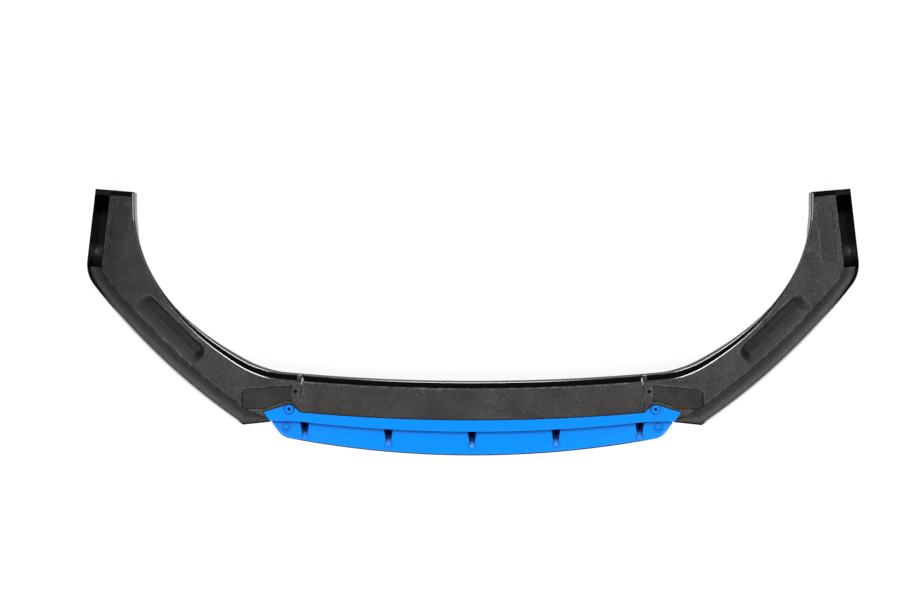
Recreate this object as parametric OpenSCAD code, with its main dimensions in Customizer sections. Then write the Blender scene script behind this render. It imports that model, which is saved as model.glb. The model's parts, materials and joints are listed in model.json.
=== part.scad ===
// Front splitter lip: two wings and a centre section, joined by a front blade and screws.
// It lies with its hidden face up. +X runs along the lip, +Y from the blade to the arm ends,
// +Z out of the hidden face, and z = 0 is what it rests on: the winglets and the rear flange.

/* [Overall] */
// Half of the width, at the shoulder of a wing
half_w = 854; // [830:1:880]
// Depth from the front edge of the blade to the ends of the arms
lip_d = 588; // [570:1:610]
// Height of the hidden face above the lowest edges
plate_z = 62; // [56:1:70]

/* [Board] */
// Thickness of the hollow board, seen as solid
board_t = 20; // [16:0.5:24]
// Width of the rounded band along the outer edge
rim_w = 34; // [24:1:40]
// Drop of the rounded band from the plate to the parting line
rim_drop = 7.5; // [5:0.5:9]
// Width of the painted ledge outside the parting line
ledge_w = 4; // [2:0.5:6]
// Growth of that ledge at the shoulder
shoulder_ledge = 5; // [2:0.5:7]
// How far from the shoulder the ledge grows
shoulder_run = 110; // [60:5:160]
// Width of the groove between the plate and the rounded band
groove_w = 3.2; // [2:0.2:5]
// Depth of that groove
groove_d = 1.8; // [1:0.2:3]
// Width of the rounding where no band runs, at the front edge
nose_round = 8; // [6:0.5:12]
// Rounding of the edge next to the rear flange
edge_r = 2; // [1:0.5:3]
// How far the crown of the rounded band lies below the plate
band_low = 0.4; // [0.2:0.1:1]
// Step down at the parting line
part_step = 1; // [0.6:0.1:1.6]
// Fall of the painted ledge
ledge_fall = 0.5; // [0.2:0.1:1]
// Rounding of the painted ledge's edge
ledge_r = 1.5; // [0.8:0.1:1.8]

/* [Wing outline] */
// How far the arm end stands inside the shoulder
arm_toe = 21; // [10:1:30]
// Distance from the arm end to the shoulder
shoulder_back = 188; // [175:1:205]
// Length of the rounding on each side of the shoulder
shoulder_r = 30; // [15:1:45]
// Distance of the front corner of a wing from the middle
corner_x = 505; // [490:1:520]
// Distance of that corner behind the blade's front edge
corner_back = 67; // [60:1:76]
// Bulge of the flank between the shoulder and the front corner
flank_bulge = 21; // [10:1:30]
// Length over which the rounded band runs out past the front corner
band_out = 52; // [30:1:56]
// Width of the arm at its end
arm_w = 84; // [78:1:92]
// Slant of the arm end across the arm
end_slant = 7; // [0:1:10]
// Straight length of the inner edge at the arm end
arm_straight = 37; // [25:1:50]
// Reach of the curved inner edge, from the arm towards the middle
inner_reach = 826; // [760:2:880]

/* [Centre line] */
// Distance of the seam between wing and centre section from the middle
seam_x = 380; // [365:1:390]
// How much nearer to the middle the seam's rear end stands
seam_slant = 6; // [0:1:10]
// Gap at the seam
seam_gap = 1.6; // [1:0.2:2.4]
// Distance from the blade's front edge to the rear edge of the plate
rear_back = 148; // [140:1:160]
// Radius of the rear edge of the plate
rear_r = 4500; // [3500:50:6000]
// Where the rear edge turns into the arm's curve
join_x = 465; // [450:1:480]
// Length of the rounding on each side of that turn
join_r = 42; // [20:1:44]

/* [Rear ledge and flange] */
// Drop from the plate to the rear ledge
rear_drop = 15; // [10:0.5:16]
// Width of the rear ledge at the centre section
rear_ledge = 12.5; // [8:0.5:16]
// Width of the rear ledge at the arm ends
rear_ledge_arm = 1; // [0.6:0.1:2]
// Rounding of the rear ledge's edge
rear_ledge_r = 1.2; // [0.6:0.1:2]
// How fast the rear ledge widens along an arm
rear_widening = 1.6; // [1:0.1:3]
// Wall of the rear flange
flange_t = 3; // [2:0.2:4]
// How far the flange leans back over its whole height
flange_lean = 1.5; // [0.5:0.5:4]
// Height of the bead that the flange fades into along the arms
bead_h = 2; // [1:0.2:4]
// Height of the flange at the arm ends
arm_flange_h = 15; // [4:1:20]
// Length of the flange at the arm ends
arm_flange_l = 72; // [50:2:90]
// Length over which that flange fades into the bead
arm_flange_fade = 40; // [30:2:60]
// Width of the tab that crosses the rear ledge beside a seam
tab_w = 11; // [8:0.5:13]
// How far the tab's top lies below the plate
tab_low = 4; // [2:0.5:8]

/* [Winglet] */
// Width of the winglet
winglet_w = 41; // [38:0.5:46]
// Flat length of its crest, from the arm end
crest_l = 112; // [104:1:120]
// Length over which the crest falls to the board, past the shoulder
crest_fall = 140; // [120:2:170]
// Rounding of its crest, and under the board's outer edge
crest_r = 5; // [3:0.5:7]
// How far its outer face leans in over its height
winglet_draft = 1.5; // [0.5:0.5:3]
// How far the foot of its inner face stands out
heel_draft = 0.5; // [0.2:0.1:1]
// Outer wall of the winglet
winglet_wall = 3; // [2.4:0.1:3.2]
// Floor of its pocket
pocket_floor = 4; // [3:0.5:6]
// Wall at the arm end
end_wall = 12; // [8:0.5:14]
// Length of the pocket
pocket_l = 160; // [150:1:170]
// Length of the hollow ramp at the front of the pocket
pocket_ramp = 57; // [45:1:62]
// Slope at the foot of that ramp
ramp_lift = 3; // [1:0.5:5]
// Rounding of the band's end at the pocket
thumb_r = 9; // [5:0.5:12]

/* [Recesses] */
// Length of the long recess in a wing
recess_l = 190; // [160:1:210]
// Width of the long recess
recess_w = 50; // [40:1:52]
// Depth of the long recess
recess_d = 10; // [6:0.5:12]
// Width of its flat floor
recess_floor = 19; // [12:1:24]
// Rounding of that floor's corners
recess_floor_r = 6; // [3:0.5:6]
// Width of the slope towards the inner edge
recess_inner = 7; // [4:0.5:10]
// Length of the slope at each end of the recess
recess_end = 20; // [14:1:30]
// Rounding of the recess at the plate
recess_r = 16; // [10:1:19]
// Plate left between the long recess and the inner edge
recess_margin = 10; // [6:1:12]
// Length of the shallow recess next to the seam
end_recess_l = 112; // [90:1:120]
// Depth of that shallow recess
end_recess_d = 4; // [2:0.5:5]
// Plate left in front of that recess
end_recess_front = 6; // [4:0.5:8]
// Plate left behind that recess
end_recess_rear = 10; // [8:0.5:14]
// Fall of its rear edge along its length
end_recess_slant = 8; // [4:0.5:12]
// Rounding of its outer corners
end_recess_r = 14; // [6:1:18]
// Width of the strip between the seam and that recess
strip_w = 15; // [13:0.5:20]
// Length of the panel on the arm
panel_l = 130; // [100:1:140]
// Width of the panel on the arm
panel_w = 36; // [28:1:38]
// Depth of the panel on the arm
panel_d = 1.6; // [0.8:0.1:2]
// Rounding of the panel's corners
panel_r = 5; // [3:0.5:8]
// Distance of the panel from the winglet
panel_side = 6; // [4:0.5:8]
// Distance of the panel from the band at the arm end
panel_end = 14; // [8:0.5:20]

/* [Lap joint] */
// Reach of the centre section's tongue under each wing
tongue_l = 26; // [20:1:32]
// Thickness of the tongue
tongue_t = 6; // [5:0.5:8]
// Length of the tongue's root inside the centre section
tongue_root = 12; // [8:1:16]
// Board left in front of the tongue
tongue_front = 10; // [8:0.5:14]
// Board left behind the tongue
tongue_rear = 9; // [7:0.5:14]
// Material left under a seam screw's hole
blind_floor = 0.8; // [0.6:0.1:1.2]
// Clearance of the tongue in its rebate
tongue_fit = 0.2; // [0.1:0.05:0.3]

/* [Blade] */
// Sheet thickness of the blade
blade_t = 3; // [2.4:0.2:4]
// Radius of the blade's front edge
blade_r = 2180; // [1900:20:2500]
// Distance from the front edge to the step
step_back = 53.7; // [48:0.5:58]
// Radius of the step
step_r = 3300; // [2900:50:3800]
// Distance from the front edge to the straight ends of the step
step_end_back = 76.5; // [72:0.5:80]
// Drop from the flange to the lower sheet
step_h = 7; // [5:0.5:9]
// Overhang of the flange over the step wall
step_lip = 1; // [0.6:0.1:1.6]
// Gap between the step wall and the board
seat_gap = 1; // [0.5:0.1:2]
// Width of the flange behind the step, at the middle
flange_w = 24.3; // [20:0.5:30]
// Radius of the rear edge of the flange
flange_r = 4230; // [3600:50:5000]
// Distance of an ear's tip from the middle
ear_x = 457; // [450:1:466]
// Distance of an ear's tip behind the front edge
ear_back = 95.5; // [90:0.5:100]
// Distance of the corner between front and end edges from the middle
end_x = 418; // [410:1:424]
// Length of the rounding on each side of that corner
end_r = 16; // [10:1:24]
// Fall of the lower sheet, for each unit forward
blade_fall = 0.06; // [0:0.01:0.1]
// Width of the rolled front edge
roll_w = 5.5; // [4:0.5:7]
// Width of the rolled edge at the blade's ends
end_roll_w = 8; // [6:0.5:10]
// Drop of the rolled edges
roll_drop = 3; // [2:0.5:4]
// Height of the blade's front lip below the roll
lip_h = 1.6; // [1:0.2:2.4]
// Width of the bare lip in front of the roll
lip_w = 2.2; // [1:0.2:3]
// Length over which the front roll widens into the end roll
roll_blend = 40; // [25:1:60]
// Distance from the last cut of the lower sheet to the step's end
sheet_end = 5; // [4:0.5:7]

/* [Fins] */
// Number of hollow fins
fins = 5; // [3:2:5]
// Distance between fins
fin_pitch = 184; // [170:1:188]
// Width of a fin's hollow at the step
fin_w = 21; // [14:0.5:24]
// Length of a fin
fin_l = 38; // [30:1:44]
// Depth of a fin's hollow at the step
fin_d = 18; // [8:0.5:20]
// Wall of a fin
fin_wall = 2.4; // [1.6:0.2:3]
// Width of a fin's ridge and tip, for each unit of its width
fin_ridge = 0.5; // [0.2:0.01:0.6]

/* [Fixings] */
// Distance of a blade screw from the middle
boss_x = 401; // [398:0.5:406]
// Distance of a blade screw behind the front edge
boss_back = 103; // [100:0.5:106]
// Radius of a screw boss
boss_r = 9; // [7.5:0.25:9]
// Height of a screw boss
boss_h = 5; // [3.5:0.5:6.5]
// Sheet round a boss, where an ear is domed
boss_rim = 0.7; // [0.5:0.1:2]
// Depth of the hole for the screw's head
head_sink = 4; // [3:0.25:5]
// Radius of a screw's head
head_r = 3.4; // [3:0.1:4]
// Height of a screw's head
head_h = 2.2; // [1.6:0.1:2.8]
// Chamfer of a screw's head
head_edge = 0.7; // [0.4:0.1:0.9]
// Width of the cross in a screw's head
cross_w = 1; // [0.8:0.1:1.2]
// Depth of that cross
cross_d = 1.2; // [0.8:0.1:1.4]
// Length of that cross
cross_l = 4; // [3:0.2:5]
// Chamfer of a boss
boss_edge = 1; // [0.5:0.1:1.5]
// Radius of a screw's shank
shank_r = 2; // [1.6:0.1:2.4]
// Clearance round a shank
shank_fit = 0.25; // [0.15:0.05:0.4]
// Clearance of a shank in the hole that holds it
thread_fit = 0.05; // [0.02:0.01:0.1]
// Reach of a blade screw into the board
screw_bite = 14; // [10:0.5:15]
// Distance of a seam screw behind the blade's front edge
seam_screw_back = 141; // [134:0.5:148]
// Radius of the ring moulded at each end of the blade
ring_r = 9.5; // [7:0.5:11]
// Width of that ring
ring_w = 2.5; // [1.5:0.5:3.5]
// Height of that ring above the sheet
ring_h = 1.4; // [0.6:0.1:1.6]
// Sheet between that ring and the step
ring_back = 5; // [3:0.5:8]
// Distance of the ring from the middle
ring_x = 409; // [403:0.5:412]

/* [Hidden] */

eps = 0.01;
// How far a cut runs past what it cuts
OVER = 20;
PAST = 1;
front_y = -lip_d / 2;
arm_y = lip_d / 2;
far_z = plate_z - board_t;
flange_drop = far_z;
rear_z = plate_z - rear_drop;
seam_rear_x = seam_x - seam_slant;

// Points of the plan
arm_out = [half_w - arm_toe, arm_y];
arm_in = [half_w - arm_toe - arm_w, arm_y - end_slant];
shoulder = [half_w, arm_y - shoulder_back];
front_corner = [corner_x, front_y + corner_back];
ear_tip = [ear_x, front_y + ear_back];
boss_at = [boss_x, front_y + boss_back];

// Directions in a cross-section, and how deep a rounded corner is cut for its radius
OUT = [1, 0];
IN = [-1, 0];
UP = [0, 1];
DOWN = [0, -1];
ROUND_CUT = 0.3;

// Numbers of steps along each stretch
ARM_ROWS = 7;
SHOULDER_ROWS = 7;
FLANK_ROWS = 24;
NOSE_ROWS = 5;
SEAM_ROWS = 2;
CENTRE_ROWS = 24;
BLADE_ROWS = 30;
END_ROWS = 3;
BAND_STEPS = 7;
CORNER_STEPS = 6;

function mix(a, b, t) = a + (b - a) * t;
function unit(v) = v / norm(v);
function clamp(t) = min(1, max(0, t));
function ease(t) = let (c = clamp(t)) c * c * (3 - 2 * c);
// A curve with two ends and one corner, such as a rounded corner of an outline
function blend3(a, corner, b, t) = mix(mix(a, corner, t), mix(corner, b, t), t);
// The three points that round a corner off, between a and b from it
function rounded(corner, a, b) = [corner + a, corner + ROUND_CUT * (a + b), corner + b];
// A shallow arc across the whole lip, with its lowest point at the middle
function bow(x, mid_y, r) = mid_y + r - sqrt(r * r - x * x);

function plate_rear(x) = bow(x, front_y + rear_back, rear_r);
function step_line(x) = min(bow(x, front_y + step_back, step_r), front_y + step_end_back);
function board_front(x) = step_line(x) + step_lip + blade_t + seat_gap;

// Inner edge of an arm: part of an ellipse that leaves the plate's rear edge at join_x
oval_mid = [arm_in[0] - inner_reach, arm_y - arm_straight];
join_a = acos((join_x - oval_mid[0]) / inner_reach);
oval_h = (oval_mid[1] - plate_rear(join_x)) / sin(join_a);
function arm_edge(a) = oval_mid + [inner_reach * cos(a), -oval_h * sin(a)];

// The whole inner edge, with the turn at join_x rounded
function oval_y(x) = oval_mid[1] - oval_h * sqrt(1 - pow((x - oval_mid[0]) / inner_reach, 2));
function inner_y(x) = x > join_x + join_r ? oval_y(x) : x < join_x - join_r ? plate_rear(x) :
    blend3(oval_y(join_x + join_r), plate_rear(join_x), plate_rear(join_x - join_r),
           (join_x + join_r - x) / (2 * join_r));
function inner_at(a) = let (p = arm_edge(a)) [p[0], p[0] > join_x + join_r ? p[1] : inner_y(p[0])];

// Outer edge: the side of the arm, then the bulged flank
side_l = norm(shoulder - arm_out);
flank_l = norm(front_corner - shoulder);
flank_dir = unit(front_corner - shoulder);
flank_out = [-flank_dir[1], flank_dir[0]];
function side(t) = mix(arm_out, shoulder, t);
function flank(t) = mix(shoulder, front_corner, t) + flank_out * 4 * flank_bulge * t * (1 - t);
side_end = 1 - shoulder_r / side_l;
flank_start = shoulder_r / flank_l;
function shoulder_curve(t) = blend3(side(side_end), shoulder, flank(flank_start), t);

// The front edge of a wing, from its corner to the notch that holds the blade's end
NOTCH_IN = 12;
NOTCH_LOW = 3;
NOTCH_L = 9;
notch_x = ear_x - NOTCH_IN;
function wing_front(x) = mix(front_y + step_end_back - NOTCH_LOW, front_corner[1],
                             (x - notch_x) / (corner_x - notch_x));

// A row is [inner point, outer point, width of the band, height of the flange, width of
// the rear ledge, its height]. The rows' inner points stand at these angles on the arm's
// ellipse, and the flange rises out of its bead between the last two.
SIDE_A = 13;
SHOULDER_A = 16.5;
ROW_BIAS = 1.15;
FADE_FROM = 26;
FADE_TO = join_a - 2;
function drop_at(a) = mix(bead_h, flange_drop, ease((a - FADE_FROM) / (FADE_TO - FADE_FROM)));
function arm_drop(p) = mix(arm_flange_h, bead_h,
                           ease((norm(p - arm_in) - arm_flange_l) / arm_flange_fade));
function ledge_at(a) = mix(rear_ledge_arm, rear_ledge,
                           pow(clamp((a - SIDE_A) / (join_a - SIDE_A)), rear_widening));
function flank_a(t) = mix(SHOULDER_A, join_a, pow(t, ROW_BIAS));
function flank_row(t) = let (a = flank_a(t))
    [inner_at(a), flank(t), rim_w, drop_at(a), ledge_at(a), rear_z];
function nose_row(x, ledge_z = rear_z) = let (
    t = (x - seam_x) / (corner_x - seam_x),
    ix = mix(seam_rear_x + seam_gap / 2, join_x, t),
    front = x > notch_x ? wing_front(x) : board_front(x),
    band = mix(nose_round, rim_w, clamp(1 - (corner_x - x) / band_out)))
    [[ix, inner_y(ix)], [x, front], band, flange_drop, rear_ledge, ledge_z];
function arm_row(inner, outer) = [inner, outer, rim_w, arm_drop(inner), rear_ledge_arm, rear_z];

// The tab that crosses the rear ledge beside the seam, between its drafted sides
TAB_DRAFT = 1;
tab_x = seam_x + seam_gap / 2 + (strip_w - tab_w) / 2;
tab_z = plate_z - tab_low;
tab_rows = [
    nose_row(tab_x + tab_w + TAB_DRAFT), nose_row(tab_x + tab_w, tab_z),
    nose_row(tab_x, tab_z), nose_row(tab_x - TAB_DRAFT)];

wing_rows = concat(
    [arm_row(arm_in, arm_out)],
    [for (i = [0 : ARM_ROWS - 1]) let (t = i / ARM_ROWS)
        arm_row(arm_edge(SIDE_A * t), side(mix(arm_straight / side_l, side_end, t)))],
    [for (i = [0 : SHOULDER_ROWS - 1]) let (t = i / SHOULDER_ROWS, a = mix(SIDE_A, flank_a(flank_start), t))
        [arm_edge(a), shoulder_curve(t), rim_w, bead_h, ledge_at(a), rear_z]],
    [for (i = [0 : FLANK_ROWS]) flank_row(mix(flank_start, 1, i / FLANK_ROWS))],
    [for (i = [1 : NOSE_ROWS]) nose_row(mix(corner_x, notch_x + eps, i / NOSE_ROWS))],
    [for (i = [0 : SEAM_ROWS - 1]) nose_row(mix(notch_x - NOTCH_L, tab_rows[0][1][0], i / SEAM_ROWS))],
    tab_rows,
    [nose_row(seam_x + seam_gap / 2)]);

// The centre section's rows stand as aslant as the seams at its ends
centre_end = seam_x - seam_gap / 2;
centre_rows = [for (i = [0 : CENTRE_ROWS])
    let (x = mix(centre_end, -centre_end, i / CENTRE_ROWS), ix = x * (1 - seam_slant / centre_end))
    [[ix, plate_rear(ix)], [x, board_front(x)], nose_round, flange_drop, rear_ledge, rear_z]];

// Height of the painted side at the outer edge: a winglet's crest near the arm end,
// and the board's own level from there on
function crest_z(p) = p[0] < corner_x ? far_z : far_z * ease((norm(p - arm_out) - crest_l) / crest_fall);

// Width of the painted ledge at the outer edge
function outer_ledge(p) = ledge_w + shoulder_ledge * ease(1 - norm(p - shoulder) / shoulder_run);

// Cross-section of the board, its rear ledge and its winglet, from the plate's inner edge at 0
// to the outer edge at w. Without a winglet heel_w is 0. The flange is thicker at its root.
function board_section(w, band, drop, rear, ledge_top, crest, heel_w, ledge) = let (
    lean = flange_lean * drop / flange_drop,
    root = w - band,
    curve_w = band - ledge,
    part_z = plate_z - rim_drop,
    ledge_z = part_z - part_step,
    outer = w - winglet_draft * (far_z - crest) / far_z,
    heel = w - heel_w,
    heel_r = min(crest_r, far_z - crest))
    concat(
        rounded([0, plate_z], edge_r * DOWN, edge_r * OUT),
        [[root - groove_w, plate_z], [root - groove_w / 2, plate_z - groove_d]],
        [for (i = [0 : BAND_STEPS]) let (a = 90 * i / BAND_STEPS)
            [root + curve_w * sin(a), part_z + (rim_drop - band_low) * cos(a)]],
        [[w - ledge, ledge_z]],
        rounded([w, ledge_z - ledge_fall], ledge_r * IN, ledge_r * DOWN),
        rounded([outer, crest], crest_r * UP, crest_r * IN),
        heel_w > 0 ? rounded([heel, crest], crest_r * OUT, heel_r * UP) : [],
        heel_w > 0 ? [[heel - heel_draft, far_z]] : [],
        [[edge_r, far_z], [min(0, flange_t + edge_r - rear), far_z]],
        [[flange_t - rear - lean, far_z - drop], [-rear - lean, far_z - drop]],
        rounded([-rear, ledge_top], min(rear_ledge_r, rear / 2) * DOWN, min(rear_ledge_r, rear / 2) * OUT),
        [[0, ledge_top]]);

// The section that stands at a row. A winglet keeps its width where the row runs aslant.
MIN_SLANT = 0.7;
side_dir = unit(shoulder - arm_out);
side_out = [-side_dir[1], side_dir[0]];
function heel_width(row) = winglet_w / max(MIN_SLANT, unit(row[1] - row[0]) * side_out);
function place(row, heel_w) = let (
    width = norm(row[1] - row[0]),
    dir = unit(row[1] - row[0]))
    [for (p = board_section(width, row[2], row[3], row[4], row[5], crest_z(row[1]), heel_w,
                            outer_ledge(row[1])))
        [row[0][0] + dir[0] * p[0], row[0][1] + dir[1] * p[0], p[1]]];

function reversed(list) = [for (i = [len(list) - 1 : -1 : 0]) list[i]];

// A solid skin over closed sections that all have as many points, each of them running
// clockwise when it is seen from the side of the first section. The ends are closed by
// polygons, given as numbers of a section's points.
module loft(sections, ends) {
    n = len(sections[0]);
    last = len(sections) - 1;
    polyhedron(
        points = [for (s = sections) for (p = s) p],
        faces = concat(
            ends,
            [for (i = [0 : last - 1]) for (j = [0 : n - 1]) let (k = (j + 1) % n)
                [i * n + j, (i + 1) * n + j, (i + 1) * n + k]],
            [for (i = [0 : last - 1]) for (j = [0 : n - 1]) let (k = (j + 1) % n)
                [i * n + j, (i + 1) * n + k, i * n + k]],
            [for (e = ends) [for (j = reversed(e)) last * n + j]]),
        convexity = 6);
}

// End of a board with n points in its section: in one polygon, or, where a tongue leaves it,
// in convex ones: the flange, the ledge, the inner edge, the plate, the rest from the groove
function whole_end(n) = [[for (j = [0 : n - 1]) j]];
function split_end(n) = let (foot = n - 8) concat(
    [[for (j = [foot + 1 : n - 2]) j], [foot, foot + 1, n - 2, n - 1], [foot, n - 1, 0, 1, 2]],
    [[foot, 2, 3, 4]],
    [for (j = [5 : foot - 1]) [4, j, j + 1]]);

// Local frame of a winglet: X across it from its outer face, Y along it from the arm end
module at_winglet() {
    translate([arm_out[0], arm_out[1], 0])
        rotate(180 + atan(arm_toe / shoulder_back))
            children();
}

// A side outline given as [along, height], as thick as the stretch from x0 to x1
module slab(x0, x1) {
    translate([x0, 0, 0])
        rotate([90, 0, 90])
            linear_extrude(x1 - x0)
                children();
}

module winglet_pocket() {
    ramp_start = end_wall + pocket_l - pocket_ramp;
    pocket_end = end_wall + pocket_l + thumb_r;
    top_z = plate_z + PAST;
    rise = top_z - pocket_floor - ramp_lift;
    x0 = winglet_wall + winglet_draft / 2;
    x1 = rim_w + groove_w;
    at_winglet()
        intersection() {
            slab(x0, x1)
                polygon(concat(
                    [[end_wall, top_z], [end_wall, pocket_floor]],
                    [for (a = [0 : 9 : 90])
                        [ramp_start + (pocket_ramp + thumb_r) * sin(a),
                         pocket_floor + ramp_lift * sin(a) + rise * (1 - cos(a))]]));
            linear_extrude(top_z)
                polygon(concat(
                    [[x0, 0], [x0, pocket_end]],
                    [for (a = [15 : 15 : 90])
                        [x0 + thumb_r * (1 - cos(a)), pocket_end - thumb_r * sin(a)]],
                    [[x1, pocket_end - thumb_r], [x1, 0]]));
        }
}

function round_box(l, w, r) = concat(
    [for (a = [0 : 15 : 90]) [l / 2 - r + r * cos(a), w / 2 - r + r * sin(a)]],
    [for (a = [90 : 15 : 180]) [-l / 2 + r + r * cos(a), w / 2 - r + r * sin(a)]],
    [for (a = [180 : 15 : 270]) [-l / 2 + r + r * cos(a), -w / 2 + r + r * sin(a)]],
    [for (a = [270 : 15 : 360]) [l / 2 - r + r * cos(a), -w / 2 + r + r * sin(a)]]);

// The long recess: a flat floor near the inner edge and one wide slope towards the rim
RECESS_AT = 0.46;
module long_recess() {
    row = flank_row(RECESS_AT);
    dir = unit(row[1] - row[0]);
    mid = row[0] + dir * (recess_margin + recess_w / 2);
    floor_mid = -recess_w / 2 + recess_inner + recess_floor / 2;
    translate([mid[0], mid[1], plate_z - recess_d])
        rotate(atan2(dir[1], dir[0]) + 90)
            hull() {
                translate([0, -floor_mid, 0])
                    linear_extrude(eps)
                        polygon(round_box(recess_l - 2 * recess_end, recess_floor, recess_floor_r));
                translate([0, 0, recess_d])
                    linear_extrude(PAST)
                        polygon(round_box(recess_l, recess_w, recess_r));
            }
}

// The shallow recess between the strip at the seam and the front corner
module end_recess() {
    x0 = seam_x + strip_w + seam_gap / 2;
    x1 = x0 + end_recess_l;
    r = end_recess_r;
    rear = plate_rear(x0) - end_recess_rear;
    low_rear = rear - end_recess_slant;
    boss_front = boss_at[1] + dome_r + end_recess_front;
    front = ear_tip[1] + end_recess_front;
    translate([0, 0, plate_z - end_recess_d])
        linear_extrude(end_recess_d + PAST)
            polygon(concat(
                [[x0, boss_front], [boss_x + boss_r, boss_front], [ear_x, front]],
                [for (a = [-90 : 15 : 0]) [x1 - r + r * cos(a), front + r + r * sin(a)]],
                [for (a = [0 : 15 : 90]) [x1 - r + r * cos(a), low_rear - r + r * sin(a)]],
                [[x0, rear]]));
}

module arm_panel() {
    at_winglet()
        translate([winglet_w + panel_side, end_wall + panel_end, plate_z - panel_d])
            linear_extrude(panel_d + PAST)
                polygon([for (p = round_box(panel_w, panel_l, panel_r)) p + [panel_w, panel_l] / 2]);
}

// The band at the arm end: a painted ledge, and a groove on its inner side
module arm_end_cuts() {
    cut_h = rim_drop + part_step + ledge_fall / 2;
    translate([arm_out[0], arm_out[1], 0])
        rotate(180 + atan(end_slant / arm_w)) {
            translate([-OVER, -OVER, plate_z - cut_h])
                cube([arm_w + 2 * OVER, OVER + ledge_w, cut_h + PAST]);
            translate([rim_w + groove_w / 2, end_wall - groove_w / 2, plate_z - groove_d / 2])
                cube([arm_w, groove_w / 2, groove_d]);
        }
}

// Tongue under a wing, or its rebate: grown by the clearance, and open below
module tongue(fit = 0, open = 0) {
    x0 = seam_x - seam_gap / 2 - tongue_root;
    x1 = seam_x + seam_gap / 2 + tongue_l;
    y0 = board_front(seam_x) + tongue_front;
    y1 = plate_rear(seam_x) - tongue_rear;
    translate([x0, y0 - fit, far_z - open])
        cube([x1 - x0 + fit, y1 - y0 + 2 * fit, tongue_t + fit + open]);
}

seam_screw_at = [seam_x + seam_gap / 2 + strip_w / 2, front_y + seam_screw_back];
blade_head_z = plate_z + blade_t + boss_h - head_sink;
// Hole past a screw's end, and height of its end above the board's far side
SCREW_END = 1;

module wing() {
    sections = [for (row = reversed(wing_rows)) place(row, heel_width(row))];
    difference() {
        loft(sections, whole_end(len(sections[0])));
        winglet_pocket();
        arm_end_cuts();
        arm_panel();
        long_recess();
        end_recess();
        tongue(fit = tongue_fit, open = PAST);
        translate([seam_screw_at[0], seam_screw_at[1], far_z])
            cylinder(r = shank_r + shank_fit, h = board_t + PAST, $fn = 32);
        translate([boss_at[0], boss_at[1], plate_z - screw_bite - SCREW_END])
            cylinder(r = shank_r, h = screw_bite + SCREW_END + PAST, $fn = 32);
    }
}

module right_wing() {
    color("#3d3c3a")
        wing();
}

module left_wing() {
    color("#3d3c3a")
        mirror([1, 0, 0])
            wing();
}

module centre_section() {
    sections = [for (row = reversed(centre_rows)) place(row, 0)];
    color("#454442")
        difference() {
            union() {
                loft(sections, split_end(len(sections[0])));
                tongue();
                mirror([1, 0, 0])
                    tongue();
            }
            for (s = [-1, 1])
                translate([s * seam_screw_at[0], seam_screw_at[1], far_z + blind_floor])
                    cylinder(r = shank_r, h = tongue_t, $fn = 32);
        }
}

// Front outline of the blade: a bow, a rounded corner, then the straight end up to the ear's tip
end_corner = [end_x, bow(end_x, front_y, blade_r)];
bow_stop = end_x - end_r;
end_dir = unit(ear_tip - end_corner);
end_start = end_corner + end_dir * end_r;
function corner_curve(t) = blend3([bow_stop, bow(bow_stop, front_y, blade_r)], end_corner, end_start, t);
step_end_y = front_y + step_end_back;
sheet_end_y = step_end_y - sheet_end;
function end_at(y) = mix(end_corner[0], ear_x, (y - end_corner[1]) / (ear_tip[1] - end_corner[1]));

// Where the lower sheet is cut along its length: [x, front edge, roll width]
half_blade = concat(
    [for (i = [0 : BLADE_ROWS / 2 - 1]) let (x = bow_stop * i / (BLADE_ROWS / 2))
        [x, bow(x, front_y, blade_r), mix(roll_w, end_roll_w, ease(1 - (bow_stop - x) / roll_blend))]],
    [for (i = [0 : CORNER_STEPS]) let (p = corner_curve(i / CORNER_STEPS)) [p[0], p[1], end_roll_w]],
    [for (i = [1 : END_ROWS]) let (p = mix(end_start, [end_at(sheet_end_y), sheet_end_y], i / END_ROWS))
        [p[0], p[1], end_roll_w]]);
last_half = len(half_blade) - 1;
blade_rows = concat(
    [for (i = [last_half : -1 : 1]) [-half_blade[i][0], half_blade[i][1], half_blade[i][2]]],
    half_blade);

// Cross-section of the lower sheet and the step wall, from the flange forward to the roll
// and the bare lip in front of it
ROLL_SHARE = 0.6;
LIP_SHARE = 0.4;
LIP_EDGE = 0.4;
function sheet_z(y, x) = plate_z + blade_t - step_h - blade_fall * (step_line(x) - y);
function blade_section(row) = let (
    x = row[0],
    front = row[1],
    rear = step_line(x) + step_lip,
    roll = min(row[2], ROLL_SHARE * (rear - front)),
    join_z = plate_z + blade_t / 2,
    z_rear = sheet_z(rear - step_lip, x),
    z_roll = sheet_z(front + roll, x),
    lip = min(lip_w, LIP_SHARE * roll),
    z_lip = z_roll - roll_drop)
    concat(
        [[x, rear + blade_t, join_z], [x, rear, join_z], [x, rear, z_rear + step_lip]],
        [[x, rear - step_lip, z_rear]],
        [for (a = [0 : 22.5 : 90])
            [x, front + lip + (roll - lip) * (1 - sin(a)), z_roll - roll_drop * (1 - cos(a))]],
        [[x, front, z_lip - LIP_EDGE], [x, front, z_lip - lip_h], [x, front + lip, z_lip - lip_h]],
        [[x, front + roll + LIP_EDGE, z_roll - blade_t]],
        [[x, rear + blade_t, z_rear - blade_t]]);
// An end of that sheet: its step wall, the foot of the wall, the sheet, the roll and the lip
BLADE_ENDS = [[0, 1, 2, 13], [2, 3, 13], [3, 4, 12, 13], [4, 5, 6, 7, 8, 12], [8, 9, 10, 11, 12]];

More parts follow.
